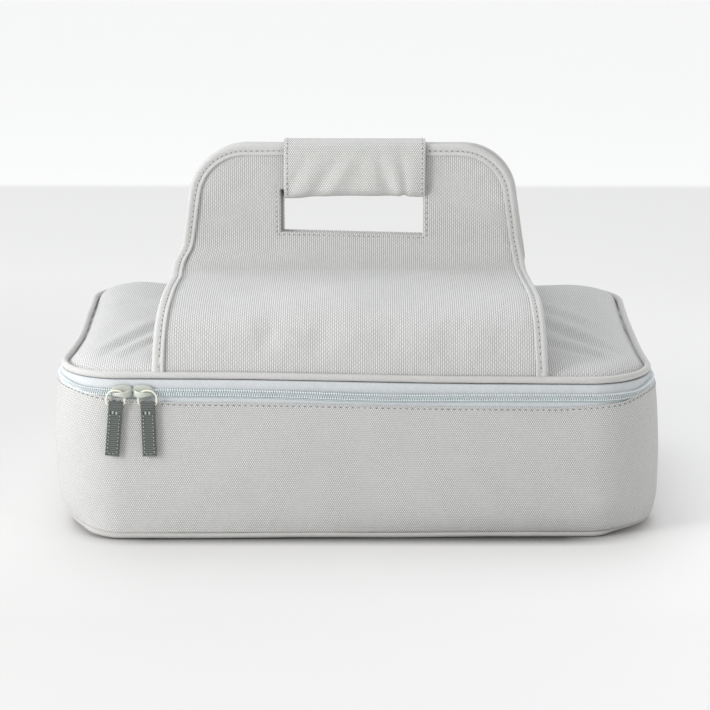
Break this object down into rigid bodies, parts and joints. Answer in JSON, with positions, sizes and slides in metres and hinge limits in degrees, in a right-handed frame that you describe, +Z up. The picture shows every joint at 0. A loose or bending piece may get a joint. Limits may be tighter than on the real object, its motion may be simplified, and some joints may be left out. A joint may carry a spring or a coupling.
{
  "type": "insulated casserole carrier",
  "caption": "Padded fabric box for a covered baking dish, with a zipped hinged lid, bound handle panels rising from the lid and a padded wrap that joins the grips",
  "frame": {"origin": "on the table under the middle of the base", "axes": "+X across the width to the right, +Y towards the back hinge, +Z up; the front faces -Y"},
  "size_m": [0.42, 0.2916, 0.2543],
  "materials": {
    "grey_fabric": "matte woven",
    "piping": "matte woven",
    "binding": "matte woven tape",
    "lining": "smooth coated",
    "foam": "matte foam",
    "stiffener": "matte",
    "zip_tape": "matte woven tape",
    "zip_coil": "satin nylon",
    "enamel": "satin enamel",
    "ring_wire": "satin enamel",
    "ribbon": "ribbed grosgrain",
    "hook_and_loop": "napped"
  },
  "bodies": {
    "tub": {"base_panel": "grey_fabric", "base_board": "stiffener", "base_foam": "foam", "tub_liner": "lining", "liner_floor": "lining", "wall_foam": "foam", "wall_fabric": "grey_fabric", "base_piping": "piping", "tub_rim_binding": "binding", "lower_zip_tape": "zip_tape", "lower_zip_coil": "zip_coil", "hinge_lower": "grey_fabric", "left_zip_stop": "grey_fabric", "right_zip_stop": "grey_fabric"},
    "lid": {"lid_panel": "grey_fabric", "lid_foam": "foam", "lid_liner": "lining", "lid_piping": "piping", "lid_rim_binding": "binding", "upper_zip_tape": "zip_tape", "upper_zip_coil": "zip_coil", "hinge_upper": "grey_fabric", "front_seam_hem": "grey_fabric", "rear_seam_hem": "grey_fabric"},
    "front_skirt": {"front_skirt_outer": "grey_fabric", "front_skirt_core": "foam", "front_skirt_inner": "grey_fabric", "front_skirt_binding_left": "binding", "front_skirt_binding_right": "binding"},
    "front_grip": {"front_grip_outer": "grey_fabric", "front_grip_core": "foam", "front_grip_inner": "grey_fabric", "front_grip_binding": "binding", "front_wrap_pad": "foam", "front_wrap_cover": "grey_fabric", "front_closure_strip": "hook_and_loop"},
    "rear_skirt": {"rear_skirt_outer": "grey_fabric", "rear_skirt_core": "foam", "rear_skirt_inner": "grey_fabric", "rear_skirt_binding_left": "binding", "rear_skirt_binding_right": "binding"},
    "rear_grip": {"rear_grip_outer": "grey_fabric", "rear_grip_core": "foam", "rear_grip_inner": "grey_fabric", "rear_grip_binding": "binding", "rear_wrap_pad": "foam", "rear_wrap_cover": "grey_fabric", "rear_closure_strip": "hook_and_loop"},
    "left_slider_body": {"left_slider": "enamel"},
    "left_ring_body": {"left_pull_ring": "ring_wire"},
    "left_pull_body": {"left_pull": "ribbon"},
    "right_slider_body": {"right_slider": "enamel"},
    "right_ring_body": {"right_pull_ring": "ring_wire"},
    "right_pull_body": {"right_pull": "ribbon"}
  },
  "joints": [
    {"name": "lid_hinge", "type": "hinge", "parent": "tub", "child": "lid", "pos_m": [0, 0.1425, 0.1014], "axis": [-1, 0, 0], "range_deg": [0, 95]},
    {"name": "front_panel_fold", "type": "hinge", "parent": "lid", "child": "front_skirt", "pos_m": [0, -0.13595, 0.11945], "axis": [1, 0, 0], "range_deg": [0, 70]},
    {"name": "front_crease_fold", "type": "hinge", "parent": "front_skirt", "child": "front_grip", "pos_m": [0, -0.0067, 0.16515], "axis": [1, 0, 0], "range_deg": [0, 80]},
    {"name": "rear_panel_fold", "type": "hinge", "parent": "lid", "child": "rear_skirt", "pos_m": [0, 0.13595, 0.11945], "axis": [-1, 0, 0], "range_deg": [0, 70]},
    {"name": "rear_crease_fold", "type": "hinge", "parent": "rear_skirt", "child": "rear_grip", "pos_m": [0, 0.0067, 0.16515], "axis": [-1, 0, 0], "range_deg": [0, 80]},
    {"name": "left_slider_run", "type": "hinge", "parent": "tub", "child": "left_slider_body", "pos_m": [-0.16, -0.0925, 0.1014], "axis": [0, 0, -1], "range_deg": [0, 85]},
    {"name": "right_slider_run", "type": "slide", "parent": "tub", "child": "right_slider_body", "axis": [1, 0, 0], "range_m": [0, 0.29]},
    {"name": "left_ring_swing", "type": "hinge", "parent": "left_slider_body", "child": "left_ring_body", "pos_m": [-0.1632, -0.1451, 0.1022], "axis": [-1, 0, 0], "range_deg": [0, 30]},
    {"name": "left_pull_swing", "type": "hinge", "parent": "left_ring_body", "child": "left_pull_body", "pos_m": [-0.1632, -0.1451, 0.095], "axis": [-1, 0, 0], "range_deg": [0, 60]},
    {"name": "right_ring_swing", "type": "hinge", "parent": "right_slider_body", "child": "right_ring_body", "pos_m": [-0.1413, -0.1451, 0.1022], "axis": [-1, 0, 0], "range_deg": [0, 30]},
    {"name": "right_pull_swing", "type": "hinge", "parent": "right_ring_body", "child": "right_pull_body", "pos_m": [-0.1413, -0.1451, 0.095], "axis": [-1, 0, 0], "range_deg": [0, 60]}
  ]
}
